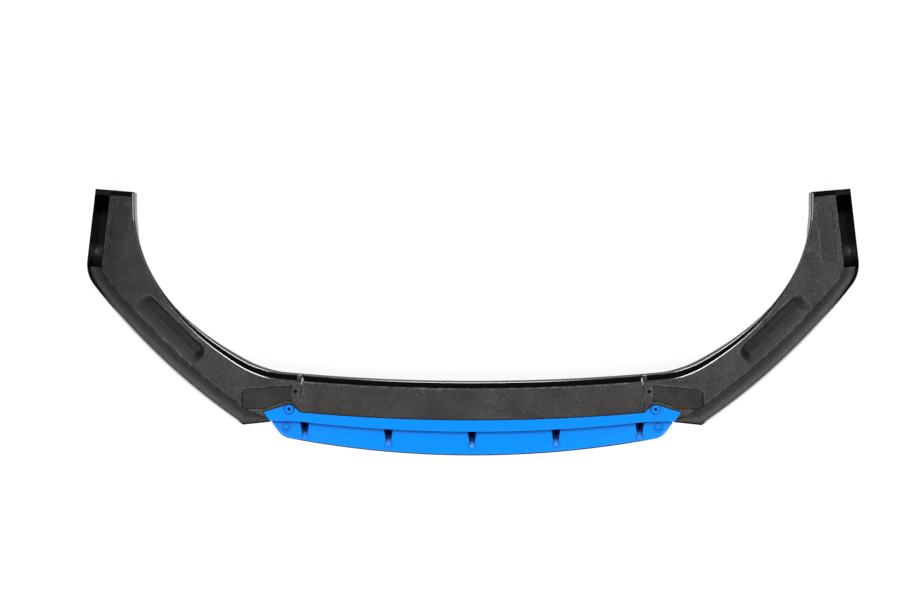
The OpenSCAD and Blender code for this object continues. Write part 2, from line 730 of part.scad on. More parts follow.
// Upper side of the blade that lies on the board, with a domed ear round each boss
dome_r = boss_r + boss_rim;
tip_dir = unit(ear_tip - boss_at);
dome_out = atan2(tip_dir[1], tip_dir[0]) + acos(dome_r / norm(ear_tip - boss_at));
DOME_IN = 131;
dome_foot = boss_at + dome_r * [cos(DOME_IN), sin(DOME_IN)];
function flange_rear(x) = bow(x, front_y + step_back + flange_w, flange_r);
DOME_RUN = 18;
foot_y = flange_rear(dome_foot[0] - DOME_RUN);
foot_x = dome_foot[0] - (dome_foot[1] - foot_y) / tan(DOME_IN - 90);
corner_at = end_at(step_end_y);
FLANGE_STEPS = 20;
half_flange = concat(
    [for (i = [0 : FLANGE_STEPS - 1]) let (x = foot_x * i / FLANGE_STEPS) [x, flange_rear(x)]],
    [[foot_x, foot_y]],
    [for (i = [0 : CORNER_STEPS]) let (a = mix(DOME_IN, dome_out, i / CORNER_STEPS))
        boss_at + dome_r * [cos(a), sin(a)]],
    [ear_tip, [corner_at, step_end_y]],
    [for (i = [FLANGE_STEPS - 1 : -1 : 0]) let (x = corner_at * i / FLANGE_STEPS) [x, step_line(x)]]);
half_flange_end = len(half_flange) - 1;

module flange_sheet() {
    translate([0, 0, plate_z])
        linear_extrude(blade_t)
            polygon(concat(
                half_flange,
                [for (i = [half_flange_end - 1 : -1 : 1]) [-half_flange[i][0], half_flange[i][1]]]));
}

// A wedge that is deep and wide at the step and runs out forward
FIN_UP = 0.5;
module wedge(w, l, d, up) {
    tip_w = w * fin_ridge;
    ridge_w = w * fin_ridge;
    polyhedron(
        points = [
            [w / 2, 0, up], [-w / 2, 0, up], [-tip_w / 2, -l, up], [tip_w / 2, -l, up],
            [w / 2, 0, 0], [-w / 2, 0, 0], [-tip_w / 2, -l, 0], [tip_w / 2, -l, 0],
            [ridge_w / 2, 0, -d], [-ridge_w / 2, 0, -d]],
        faces = [
            [3, 2, 1, 0], [0, 4, 7], [0, 7, 3], [1, 6, 5], [1, 2, 6], [3, 7, 6], [3, 6, 2],
            [0, 1, 5], [0, 5, 4], [4, 5, 9], [4, 9, 8], [4, 8, 7], [5, 6, 9], [6, 7, 8], [6, 8, 9]]);
}

module at_fins() {
    for (i = [0 : fins - 1]) {
        x = (i - (fins - 1) / 2) * fin_pitch;
        translate([x, step_line(x) + step_lip, plate_z + blade_t - step_h])
            children();
    }
}

module at_bosses() {
    for (s = [-1, 1])
        translate([s * boss_at[0], boss_at[1], plate_z + blade_t])
            children();
}

module end_ring() {
    ring_y = step_end_y - ring_r - ring_back;
    root_h = blade_t / 2;
    for (s = [-1, 1])
        translate([s * ring_x, ring_y, sheet_z(ring_y, ring_x) - root_h])
            difference() {
                cylinder(r = ring_r, h = root_h + ring_h, $fn = 48);
                translate([0, 0, -eps])
                    cylinder(r = ring_r - ring_w, h = root_h + ring_h + 2 * eps, $fn = 48);
            }
}

module front_blade() {
    color("#008cff")
        difference() {
            union() {
                flange_sheet();
                loft([for (row = blade_rows) blade_section(row)], BLADE_ENDS);
                at_fins()
                    translate([0, blade_t / 2, -blade_t / 2])
                        wedge(fin_w + 2 * fin_wall, fin_l + blade_t / 2 + fin_wall,
                              fin_d + fin_wall, FIN_UP);
                at_bosses() {
                    translate([0, 0, -blade_t / 2])
                        cylinder(r = boss_r, h = boss_h + blade_t / 2 - boss_edge, $fn = 48);
                    translate([0, 0, boss_h - boss_edge])
                        cylinder(r1 = boss_r, r2 = boss_r - boss_edge, h = boss_edge, $fn = 48);
                }
                end_ring();
            }
            at_fins()
                wedge(fin_w, fin_l, fin_d, PAST);
            at_bosses() {
                translate([0, 0, boss_h - head_sink])
                    cylinder(r = head_r + shank_fit, h = head_sink + PAST, $fn = 32);
                translate([0, 0, -blade_t - PAST])
                    cylinder(r = shank_r + shank_fit, h = boss_h + blade_t + 2 * PAST, $fn = 32);
            }
        }
}

// A pan-head screw that hangs from z = 0, its head above and its shank below
module screw(reach) {
    difference() {
        union() {
            cylinder(r = head_r, h = head_h - head_edge, $fn = 32);
            translate([0, 0, head_h - head_edge])
                cylinder(r1 = head_r, r2 = head_r - head_edge, h = head_edge, $fn = 32);
            translate([0, 0, -reach])
                cylinder(r = shank_r - thread_fit, h = reach + head_h / 2, $fn = 32);
        }
        for (a = [0, 90])
            rotate(a)
                translate([-cross_l / 2, -cross_w / 2, head_h - cross_d])
                    cube([cross_l, cross_w, cross_d + PAST]);
    }
}

module seam_screws() {
    color("#16181a")
        for (s = [-1, 1])
            translate([s * seam_screw_at[0], seam_screw_at[1], plate_z])
                screw(board_t - SCREW_END);
}

module blade_screws() {
    color("#16181a")
        for (s = [-1, 1])
            translate([s * boss_at[0], boss_at[1], blade_head_z])
                screw(blade_head_z - plate_z + screw_bite);
}

left_wing();
centre_section();
right_wing();
front_blade();
seam_screws();
blade_screws();
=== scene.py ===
"""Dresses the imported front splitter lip: its moulded and lacquered plastics, studio and camera.

The frame's own nodes stay as they are. They get procedural finishes, and a modifier that shades
their lofted faces smooth, marks the lacquered edges, and measures how far each place is from the
outer ledge. Lengths are in metres, in the frame of the part.
"""

import json
import logging
import math
from dataclasses import dataclass, field
from enum import Enum
from functools import cached_property
from typing import Any

import bpy
from mathutils import Matrix, Vector

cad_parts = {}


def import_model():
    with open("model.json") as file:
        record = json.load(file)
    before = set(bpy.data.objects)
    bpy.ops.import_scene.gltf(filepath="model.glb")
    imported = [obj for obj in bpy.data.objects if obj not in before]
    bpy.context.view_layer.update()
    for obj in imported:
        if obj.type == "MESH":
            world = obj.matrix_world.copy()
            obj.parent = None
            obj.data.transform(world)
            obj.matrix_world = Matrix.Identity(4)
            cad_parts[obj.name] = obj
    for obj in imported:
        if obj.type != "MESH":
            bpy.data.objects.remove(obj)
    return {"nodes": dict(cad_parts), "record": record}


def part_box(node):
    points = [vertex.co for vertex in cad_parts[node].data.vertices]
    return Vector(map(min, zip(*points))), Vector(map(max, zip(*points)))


LOG = logging.getLogger("splitter_lip")
MM = 0.001
RAYS = 6  # Rays per place, for the measures of edges and corners.
EDGE_MARK = "lacquered_edge"
RIM_DISTANCE = "rim_distance"
Range = tuple[float, float]


class Slot(str, Enum):
    """The record's material slots."""

    BOARD = "black_abs"
    BLADE = "blue_abs"
    SCREW = "black_screws"


class Kind(Enum):
    """The types of node that the finishes and the modifier are made of."""

    MATH = "ShaderNodeMath"
    VECTOR_MATH = "ShaderNodeVectorMath"
    RANGE = "ShaderNodeMapRange"
    NOISE = "ShaderNodeTexNoise"
    MIX = "ShaderNodeMix"
    SPLIT = "ShaderNodeSeparateXYZ"
    PLACE = "ShaderNodeTexCoord"
    SURFACE = "ShaderNodeNewGeometry"
    ATTRIBUTE = "ShaderNodeAttribute"
    BEVEL = "ShaderNodeBevel"
    OCCLUSION = "ShaderNodeAmbientOcclusion"
    BUMP = "ShaderNodeBump"
    SHADER = "ShaderNodeBsdfPrincipled"
    MATERIAL_OUTPUT = "ShaderNodeOutputMaterial"
    COMPARE = "FunctionNodeCompare"
    BOOLEAN = "FunctionNodeBooleanMath"
    GROUP_INPUT = "NodeGroupInput"
    GROUP_OUTPUT = "NodeGroupOutput"
    WELD = "GeometryNodeMergeByDistance"
    DROP_ATTRIBUTE = "GeometryNodeRemoveAttribute"
    STORE_ATTRIBUTE = "GeometryNodeStoreNamedAttribute"
    POSITION = "GeometryNodeInputPosition"
    NORMAL = "GeometryNodeInputNormal"
    EDGE_ANGLE = "GeometryNodeInputMeshEdgeAngle"
    SEPARATE = "GeometryNodeSeparateGeometry"
    PROXIMITY = "GeometryNodeProximity"
    SHADE_SMOOTH = "GeometryNodeSetShadeSmooth"


def linear(code: str) -> tuple[float, float, float, float]:
    """Turns an sRGB hex value into the linear colour that a shader takes.

    Args:
        code: Six hex digits after a hash.

    Returns:
        Red, green, blue and a full alpha, all linear. The numbers are the sRGB standard's own.
    """
    digits = code.lstrip("#")
    parts = (int(digits[i : i + 2], 16) / 255 for i in (0, 2, 4))
    red, green, blue = (
        part / 12.92 if part <= 0.04045 else ((part + 0.055) / 1.055) ** 2.4 for part in parts)
    return (red, green, blue, 1.0)


def per_metre(size_mm: float) -> float:
    """Gives the texture scale at which one cell of a pattern is size_mm across."""
    return 1.0 / (size_mm * MM)


def add_node(tree: bpy.types.NodeTree, kind: Kind, inputs: dict | list | None = None,
             output: str | int = 0, **settings: Any) -> Any:
    """Adds a node with its settings, and fills or links its sockets.

    Args:
        tree: The node tree that takes the node.
        kind: Type of the node.
        inputs: Values, or the outputs that are linked, by socket name or number. A list fills
            the sockets in their order.
        output: Name or number of the wanted output.
        **settings: The node's own properties.

    Returns:
        The wanted output, or None from a node that has none.
    """
    node = tree.nodes.new(kind.value)
    for name, value in settings.items():
        setattr(node, name, value)
    filled = inputs if isinstance(inputs, dict) else dict(enumerate(inputs or []))
    for key, value in filled.items():
        socket = node.inputs[key]
        if isinstance(value, bpy.types.NodeSocket):
            tree.links.new(value, socket)
        else:
            socket.default_value = value
    return node.outputs[output] if len(node.outputs) else None


@dataclass
class Skin:
    """A material's node tree, with what the masks on its surface start from.

    Attributes:
        name: The material's name.
    """

    name: str

    @cached_property
    def material(self) -> bpy.types.Material:
        """Starts the material, with an empty node tree.

        Returns:
            The material.
        """
        material = bpy.data.materials.new(self.name)
        material.use_nodes = True
        material.node_tree.nodes.clear()
        return material

    @property
    def tree(self) -> bpy.types.NodeTree:
        """Gives the material's node tree."""
        return self.material.node_tree

    @cached_property
    def place(self) -> Any:
        """Gives the output with the object coordinates."""
        return add_node(self.tree, Kind.PLACE, output="Object")

    @cached_property
    def axes(self) -> tuple[Any, ...]:
        """Gives the outputs with the three coordinates."""
        return tuple(add_node(self.tree, Kind.SPLIT, [self.place]).node.outputs)

    @property
    def x(self) -> Any:
        """Gives the output with the place along the lip."""
        return self.axes[0]

    @property
    def y(self) -> Any:
        """Gives the output with the place from front to rear."""
        return self.axes[1]

    @property
    def z(self) -> Any:
        """Gives the output with the height."""
        return self.axes[2]

    @cached_property
    def side(self) -> Any:
        """Gives the output with the distance from the lip's middle, the same left and right."""
        return add_node(self.tree, Kind.MATH, [self.x], operation="ABSOLUTE")

    @cached_property
    def up(self) -> Any:
        """Gives the output that says how squarely a face looks up, 1 on the level plate."""
        face = add_node(self.tree, Kind.SURFACE, output="True Normal")
        return add_node(self.tree, Kind.SPLIT, [face], 2)

    def all_of(self, first: Any, *others: Any) -> Any:
        """Multiplies masks.

        Args:
            first: A mask.
            *others: More masks, or a number.

        Returns:
            Output that is 1 where all of them are.
        """
        for other in others:
            first = add_node(self.tree, Kind.MATH, [first, other], operation="MULTIPLY")
        return first

    def any_of(self, first: Any, *others: Any) -> Any:
        """Takes the largest of some masks.

        Args:
            first: A mask.
            *others: More masks.

        Returns:
            Output that is 1 where any of them is.
        """
        for other in others:
            first = add_node(self.tree, Kind.MATH, [first, other], operation="MAXIMUM")
        return first

    def edge_turn(self, radius_mm: float) -> Any:
        """Measures how far the surface turns within a radius.

        Args:
            radius_mm: The radius.

        Returns:
            Output that is 0 on a flat face and grows towards an edge.
        """
        soft = add_node(self.tree, Kind.BEVEL, {"Radius": radius_mm * MM}, samples=RAYS)
        own = add_node(self.tree, Kind.SURFACE, output="Normal")
        turn = add_node(self.tree, Kind.VECTOR_MATH, [soft, own], operation="SUBTRACT")
        return add_node(self.tree, Kind.VECTOR_MATH, [turn], "Value", operation="LENGTH")

    def finish(self, inputs: dict) -> bpy.types.Material:
        """Closes the material with its shader.

        Args:
            inputs: What the shader's sockets take.

        Returns:
            The material.
        """
        shader = add_node(self.tree, Kind.SHADER, inputs)
        add_node(self.tree, Kind.MATERIAL_OUTPUT, {"Surface": shader})
        return self.material


@dataclass(frozen=True)
class ArmEnd:
    """The winglet at an arm's end, as far as its lacquer and its pocket's painted shade need it.

    Attributes:
        corner: Outer corner of the arm's end, in the part's frame.
        toe: How much further out the arm's side is per metre from its end.
        slant: How much the end falls per metre towards the inside.
        band: Depth of the lacquered band along the end.
        wall: Top of the outer wall, from the arm's side.
        wall_lap: How far past that top the wall still counts as wall.
        inner: Inner side of the pocket, from the arm's side.
        pocket_end: Far end of the pocket, from the arm's end.
        thumb: Radius of the rounded end of the bare band, past the pocket.
    """

    corner: Vector
    toe: float = 21.0 / 188.0
    slant: float = 7.0 / 84.0
    band: float = 12.5 * MM
    wall: float = 3.75 * MM
    wall_lap: float = 0.3 * MM
    inner: float = 37.2 * MM
    pocket_end: float = 181.0 * MM
    thumb: float = 9.0 * MM

    def masks(self, skin: Skin) -> tuple[Any, Any, Any]:
        """Builds the masks of the band at the end and of the pocket with its rounded end.

        Args:
            skin: The material that takes the masks.

        Returns:
            Outputs that are 1 on the band, over the pocket with its outer wall, and inside
            that wall.
        """
        tree = skin.tree
        inward = add_node(tree, Kind.MATH, [self.corner.x, skin.side], operation="SUBTRACT")
        along = add_node(tree, Kind.MATH, [self.corner.y, skin.y], operation="SUBTRACT")
        fall = add_node(tree, Kind.MATH, [inward, self.slant], operation="MULTIPLY")
        from_end = add_node(tree, Kind.MATH, [along, fall], operation="SUBTRACT")
        near_end = add_node(tree, Kind.MATH, [from_end, self.band], operation="LESS_THAN")

        flare = add_node(tree, Kind.MATH, [along, self.toe], operation="MULTIPLY")
        across = add_node(tree, Kind.MATH, [inward, flare], operation="ADD")
        thumb_y = self.pocket_end - self.thumb
        before = add_node(tree, Kind.MATH, [along, thumb_y], operation="LESS_THAN")
        beside = add_node(tree, Kind.MATH, [across, self.wall + self.thumb], operation="SUBTRACT")
        past = add_node(tree, Kind.MATH, [along, thumb_y], operation="SUBTRACT")
        squares = add_node(tree, Kind.MATH, [
            skin.all_of(beside, beside), skin.all_of(past, past)], operation="ADD")
        reach = add_node(tree, Kind.MATH, [squares], operation="SQRT")
        round_end = skin.all_of(
            add_node(tree, Kind.MATH, [reach, self.thumb], operation="GREATER_THAN"),
            add_node(tree, Kind.MATH, [beside, 0.0], operation="LESS_THAN"),
            add_node(tree, Kind.MATH, [along, self.pocket_end], operation="LESS_THAN"))
        pocket = skin.all_of(
            add_node(tree, Kind.MATH, [across, self.inner], operation="LESS_THAN"),
            skin.any_of(before, round_end))
        inside = skin.all_of(pocket, add_node(
            tree, Kind.MATH, [across, self.wall + self.wall_lap], operation="GREATER_THAN"))
        return near_end, pocket, inside


@dataclass(frozen=True)
class LacquerLimits:
    """Where the boards' gloss lacquer ends and the bare plastic begins.

    Gloss shows on the arms' ends, around the pocket and along the inner edge. The other limits
    are guesses: that the centre's rounding, the rear flange and the arms' steep walls are bare
    was chosen because their brightness then comes out right.

    Attributes:
        painted_z: Everything lower than this is lacquered.
        ledge_z: Steep walls lower than this are lacquered.
        steep_normal: A wall that looks up less squarely than this is steep.
        centre_half: Half the centre section's width.
        rounding_z: Foot of the rounding along the centre's inner edge.
        flange_z: Top of the rear flange.
        flange_half: Half the width over which the flange is bare.
        arm_half: Where the arms' bare steep walls begin, from the middle.
        rim: Least distance of flange and steep wall from the outer ledge.
    """

    painted_z: float = 50.5 * MM
    ledge_z: float = 54.2 * MM
    steep_normal: float = 0.3
    centre_half: float = 372.0 * MM
    rounding_z: float = 59.5 * MM
    flange_z: float = 46.0 * MM
    flange_half: float = 655.0 * MM
    arm_half: float = 600.0 * MM
    rim: float = 60.0 * MM

    def mask(self, skin: Skin, end_band: Any) -> Any:
        """Builds the mask of the lacquered surfaces.

        Args:
            skin: The material that takes the mask.
            end_band: Mask of the band at the arm's end.

        Returns:
            Output that is 1 on lacquer and 0 on bare plastic.
        """
        tree = skin.tree
        low = add_node(tree, Kind.MATH, [skin.z, self.painted_z], operation="LESS_THAN")
        steep = add_node(tree, Kind.MATH, [skin.up, self.steep_normal], operation="LESS_THAN")
        wall = skin.all_of(
            add_node(tree, Kind.MATH, [skin.z, self.ledge_z], operation="LESS_THAN"), steep)
        edge = add_node(tree, Kind.ATTRIBUTE, output="Fac", attribute_name=EDGE_MARK)
        covered = skin.all_of(edge, skin.any_of(
            add_node(tree, Kind.MATH, [skin.side, self.centre_half], operation="GREATER_THAN"),
            add_node(tree, Kind.MATH, [skin.z, self.rounding_z], operation="LESS_THAN")))
        flange = skin.all_of(
            add_node(tree, Kind.MATH, [skin.z, self.flange_z], operation="LESS_THAN"),
            add_node(tree, Kind.MATH, [skin.side, self.flange_half], operation="LESS_THAN"))
        arm_wall = skin.all_of(
            add_node(tree, Kind.MATH, [skin.z, self.flange_z], operation="GREATER_THAN"),
            add_node(tree, Kind.MATH, [skin.side, self.arm_half], operation="GREATER_THAN"),
            steep)
        from_rim = add_node(tree, Kind.ATTRIBUTE, output="Fac", attribute_name=RIM_DISTANCE)
        bare = skin.all_of(skin.any_of(flange, arm_wall), add_node(
            tree, Kind.MATH, [from_rim, self.rim], operation="GREATER_THAN"))
        kept = add_node(tree, Kind.MATH, [1.0, bare], operation="SUBTRACT")
        return skin.all_of(skin.any_of(low, wall, covered, end_band), kept)


@dataclass(frozen=True)
class HollowShade:
    """Painted shade on low places of the bare face, which makes their colour darker.

    These are the recesses, and both sides of the rounded band: beside its groove, and where it
    falls away to the parting line. A range of depths runs from where the shade begins to where
    it is full.

    Attributes:
        plate_z: Height of the level plate, from which depths are measured.
        band_reach: How far the rounded band reaches from the outer ledge.
        band_sunk: Least depth of the band, so that the plate beside it isn't taken for it.
        groove: Depths over which the shade beside the groove fades.
        foot: Depths over which it comes back towards the parting line.
        band_share: Most shade on the band.
        recess: Depths over which the shade in a recess grows.
        recess_share: Most shade on the floor of a recess.
        end_wall: Depths over which the shade on a recess's sloping end grows.
        end_slope: How squarely such an end looks up, and a floor.
    """

    plate_z: float = 62.0 * MM
    band_reach: float = 31.0 * MM
    band_sunk: float = 0.2 * MM
    groove: Range = (0.6 * MM, 1.7 * MM)
    foot: Range = (2.4 * MM, 6.5 * MM)
    band_share: float = 0.75
    recess: Range = (0.3 * MM, 7.0 * MM)
    recess_share: float = 0.8
    end_wall: Range = (0.3 * MM, 4.5 * MM)
    end_slope: Range = (0.9, 0.915)

    def mask(self, skin: Skin) -> Any:
        """Builds the mask of the painted shade.

        Args:
            skin: The material that takes the mask.

        Returns:
            Output between 0 where no shade is painted and 1 under the full shade.
        """
        # Painted shade: darker with depth in recesses, and on both sides of the rounded band.
        tree = skin.tree
        sunk = add_node(tree, Kind.MATH, [self.plate_z, skin.z], operation="SUBTRACT")
        from_rim = add_node(tree, Kind.ATTRIBUTE, output="Fac", attribute_name=RIM_DISTANCE)
        on_band = skin.all_of(
            add_node(tree, Kind.MATH, [from_rim, self.band_reach], operation="LESS_THAN"),
            add_node(tree, Kind.MATH, [sunk, self.band_sunk], operation="GREATER_THAN"))
        off_band = add_node(tree, Kind.MATH, [1.0, on_band], operation="SUBTRACT")
        band = skin.any_of(
            add_node(tree, Kind.RANGE, [sunk, *self.groove, self.band_share, 0.0]),
            add_node(tree, Kind.RANGE, [sunk, *self.foot, 0.0, self.band_share]))
        sloping = add_node(tree, Kind.RANGE, [skin.up, *self.end_slope, 1.0, 0.0])
        hollow = skin.any_of(
            add_node(tree, Kind.RANGE, [sunk, *self.recess, 0.0, self.recess_share]),
            skin.all_of(sloping, add_node(tree, Kind.RANGE, [sunk, *self.end_wall])))
        return skin.any_of(skin.all_of(on_band, band), skin.all_of(off_band, hollow))


@dataclass(frozen=True)
class Scuffs:
    """Pale marks of handling on the bare face: rubbed edges, speckles beside them, loose strokes.

    Each range runs from no mark to the full mark.

    Attributes:
        stroke_mm: Length of a stroke.
        speckle_mm: Size of a speckle.
        edge_mm: Reach of the rubbed line along an edge.
        edge_turn: Turn of the surface there.
        edge_open: Openness there, so that grooves stay clean.
        edge_noise: Noise that breaks the line up.
        edge_share: Strength of the line.
        near_mm: Reach of the speckles around an edge.
        near_turn: Turn of the surface there.
        speckle_noise: Noise that draws the speckles.
        speckle_share: Strength of the speckles.
        speckle_patch: Noise that gathers them in patches.
        stroke_width: How far from the noise's middle a stroke ends.
        stroke_warp: How far the noise is bent, so that its middle line becomes strokes.
        stroke_share: Strength of the strokes.
        stroke_patch: Noise that gathers them in patches.
    """

    stroke_mm: float = 14.0
    speckle_mm: float = 4.0
    edge_mm: float = 1.5
    edge_turn: Range = (0.03, 0.16)
    edge_open: Range = (0.8, 0.95)
    edge_noise: Range = (0.44, 0.62)
    edge_share: float = 0.7
    near_mm: float = 12.0
    near_turn: Range = (0.01, 0.2)
    speckle_noise: Range = (0.53, 0.68)
    speckle_share: float = 0.45
    speckle_patch: Range = (0.42, 0.6)
    stroke_width: float = 0.01
    stroke_warp: float = 2.4
    stroke_share: float = 0.5
    stroke_patch: Range = (0.44, 0.62)

    def mask(self, skin: Skin, opened: Any) -> Any:
        """Builds the mask of the pale marks.

        Args:
            skin: The material that takes the mask.
            opened: How open each place is.

        Returns:
            Output between 0 and 1.
        """
        tree = skin.tree
        breaks = add_node(tree, Kind.NOISE, {
            "Vector": skin.place, "Scale": per_metre(self.stroke_mm), "Detail": 5.0})
        line = skin.all_of(
            add_node(tree, Kind.RANGE, [skin.edge_turn(self.edge_mm), *self.edge_turn]),
            add_node(tree, Kind.RANGE, [opened, *self.edge_open]),
            add_node(tree, Kind.RANGE, [breaks, *self.edge_noise, 0.0, self.edge_share]))

        speckles = add_node(tree, Kind.NOISE, {
            "Vector": skin.place, "Scale": per_metre(self.speckle_mm), "Detail": 3.0})
        patches = add_node(tree, Kind.NOISE, {
            "Vector": skin.place, "Scale": per_metre(self.stroke_mm * 2), "Detail": 2.0})
        speckle = skin.all_of(
            add_node(tree, Kind.RANGE, [skin.edge_turn(self.near_mm), *self.near_turn]),
            add_node(tree, Kind.RANGE, [speckles, *self.speckle_noise, 0.0, self.speckle_share]),
            add_node(tree, Kind.RANGE, [patches, *self.speckle_patch]))

        bent = add_node(tree, Kind.NOISE, {
            "Vector": skin.place, "Scale": per_metre(self.stroke_mm), "Detail": 5.0,
            "Distortion": self.stroke_warp})
        level = add_node(tree, Kind.MATH, [bent, 0.5], operation="SUBTRACT")
        off_level = add_node(tree, Kind.MATH, [level], operation="ABSOLUTE")
        fields = add_node(tree, Kind.NOISE, {
            "Vector": skin.place, "Scale": per_metre(self.stroke_mm * 6), "Detail": 2.0})
        strokes = skin.all_of(
            add_node(tree, Kind.RANGE, [
                off_level, 0.0, self.stroke_width, self.stroke_share, 0.0]),
            add_node(tree, Kind.RANGE, [fields, *self.stroke_patch]))
        return skin.any_of(line, speckle, strokes)


@dataclass(frozen=True)
class BoardAbs:
    """Black ABS of the hollow boards: moulded and bare on the hidden face, lacquered outside.

    The bare face comes straight from the mould. Its fine grit scatters the light, so that it
    looks dark grey and dry, with cloudy flow marks, and handling leaves it pale and scuffed near
    its edges. Its colour is painted darker as shade in recesses, on the sides of the rounded
    band, in closed-in corners and on the left arm, and the pocket's inside is painted black as
    its deep shade. The lacquer over the outer side and down the inner edge is smooth, so that it
    looks black and mirrors the studio.

    Attributes:
        bare: Colour of the bare plastic.
        cloud: Colour of its flow marks.
        scuff: Colour of its scuffs.
        lacquer: Colour of the lacquer, and of the pocket's inside, where it is painted deep shade.
        ior: Index of refraction of ABS and of the lacquer.
        specular: Strength of the mirror image, low because the lip shows little of it.
        coat: Strength of the lacquer's clear coat.
        bare_roughness: Roughness of the bare plastic.
        roughness_swing: How far the flow marks change it, up and down.
        lacquer_roughness: Roughness of the lacquer.
        pocket_roughness: Roughness inside the pocket.
        cloud_mm: Size of the flow marks.
        cloud_noise: Noise over which they grow.
        cloud_share: Their share of the tone.
        mottle_mm: Size of the fine mottling.
        mottle_noise: Noise over which it grows.
        mottle_share: Its share of the tone.
        grit_mm: Size of the drawn grit.
        grit_height_mm: Its height.
        corner_mm: Reach of the painted shade in corners.
        corner_open: Openness from a shaded corner to an open face.
        corner_shade: What is left of the colour in such a corner, as painted shade.
        hollow_shade: What is left of the colour under the full painted shade of low places.
        arm_x: Where the painted shade on the left arm ends and the rest begins. The shade is a
            guess that matches the brightness, and no fact about the plastic.
        arm_shade: What is left of the colour under that painted shade.
    """

    bare: str = "#292725"
    cloud: str = "#42403d"
    scuff: str = "#9a9894"
    lacquer: str = "#040404"
    ior: float = 1.5
    specular: float = 0.33
    coat: float = 0.6
    bare_roughness: float = 0.55
    roughness_swing: float = 0.06
    lacquer_roughness: float = 0.12
    pocket_roughness: float = 0.46
    cloud_mm: float = 60.0
    cloud_noise: Range = (0.3, 0.7)
    cloud_share: float = 0.6
    mottle_mm: float = 9.0
    mottle_noise: Range = (0.35, 0.65)
    mottle_share: float = 0.4
    grit_mm: float = 3.0
    grit_height_mm: float = 0.1
    corner_mm: float = 8.0
    corner_open: Range = (0.2, 0.9)
    corner_shade: float = 0.25
    hollow_shade: float = 0.12
    arm_x: Range = (-0.80, -0.66)
    arm_shade: float = 0.5

    def build(self, arm_end: ArmEnd) -> bpy.types.Material:
        """Builds the material.

        Args:
            arm_end: The winglet at the arm's end.

        Returns:
            The material, with bare and lacquered surfaces in one.
        """
        skin = Skin(Slot.BOARD.value)
        tree = skin.tree
        end_band, pocket, inside = arm_end.masks(skin)
        outside = add_node(tree, Kind.MATH, [1.0, inside], operation="SUBTRACT")
        lacquered = skin.all_of(LacquerLimits().mask(skin, end_band), outside)
        opened = add_node(tree, Kind.OCCLUSION, {
            "Distance": self.corner_mm * MM}, "AO", samples=RAYS)

        clouds = add_node(tree, Kind.NOISE, {
            "Vector": skin.place, "Scale": per_metre(self.cloud_mm), "Detail": 4.0})
        mottle = add_node(tree, Kind.NOISE, {
            "Vector": skin.place, "Scale": per_metre(self.mottle_mm), "Detail": 4.0})
        tone = add_node(tree, Kind.MATH, [
            add_node(tree, Kind.RANGE, [clouds, *self.cloud_noise, 0.0, self.cloud_share]),
            add_node(tree, Kind.RANGE, [mottle, *self.mottle_noise, 0.0, self.mottle_share])],
            operation="ADD")
        # Sockets 6 and 7 of a mix are its colours, and output 2 is the blended one.
        body = add_node(tree, Kind.MIX, {
            0: tone, 6: linear(self.bare), 7: linear(self.cloud)}, 2, data_type="RGBA")
        scuffed = add_node(tree, Kind.MIX, {
            0: Scuffs().mask(skin, opened), 6: body, 7: linear(self.scuff)}, 2,
            data_type="RGBA")
        shade = skin.all_of(
            # Painted shade in recesses and on the rounded band's sides.
            add_node(tree, Kind.RANGE, [HollowShade().mask(skin), 0.0, 1.0, 1.0, self.hollow_shade]),
            # Painted shade in closed-in corners and creases.
            add_node(tree, Kind.RANGE, [opened, *self.corner_open, self.corner_shade, 1.0]),
            # Painted shade on the left arm.
            add_node(tree, Kind.RANGE, [skin.x, *self.arm_x, self.arm_shade, 1.0]))
        toned = add_node(tree, Kind.VECTOR_MATH, {0: scuffed, "Scale": shade}, operation="SCALE")
        # Painted shade: the pocket's inside takes the lacquer's black, as its deep shade.
        colour = add_node(tree, Kind.MIX, {
            0: skin.any_of(lacquered, pocket), 6: toned, 7: linear(self.lacquer)}, 2,
            data_type="RGBA")

        # Sockets 2 and 3 of a mix are its numbers.
        roughness_and_glint = add_node(tree, Kind.RANGE, [
            clouds, *self.cloud_noise, self.bare_roughness - self.roughness_swing,
            self.bare_roughness + self.roughness_swing])
        dry = add_node(tree, Kind.MIX, {
            0: inside, 2: roughness_and_glint, 3: self.pocket_roughness}, data_type="FLOAT")
        rough = add_node(tree, Kind.MIX, {
            0: lacquered, 2: dry, 3: self.lacquer_roughness}, data_type="FLOAT")

        # Mould grit is under 0.1 mm across. It is drawn at 3 mm, the finest that the render shows.
        grit = add_node(tree, Kind.NOISE, {
            "Vector": skin.place, "Scale": per_metre(self.grit_mm), "Detail": 3.0})
        gritty = add_node(tree, Kind.MATH, [1.0, lacquered], operation="SUBTRACT")
        bump = add_node(tree, Kind.BUMP, {
            "Height": grit, "Strength": gritty, "Distance": self.grit_height_mm * MM})
        return skin.finish({
            "Base Color": colour, "Roughness": rough, "IOR": self.ior,
            "Specular IOR Level": self.specular, "Coat Weight": skin.all_of(lacquered, self.coat),
            "Coat Roughness": self.lacquer_roughness, "Normal": bump})


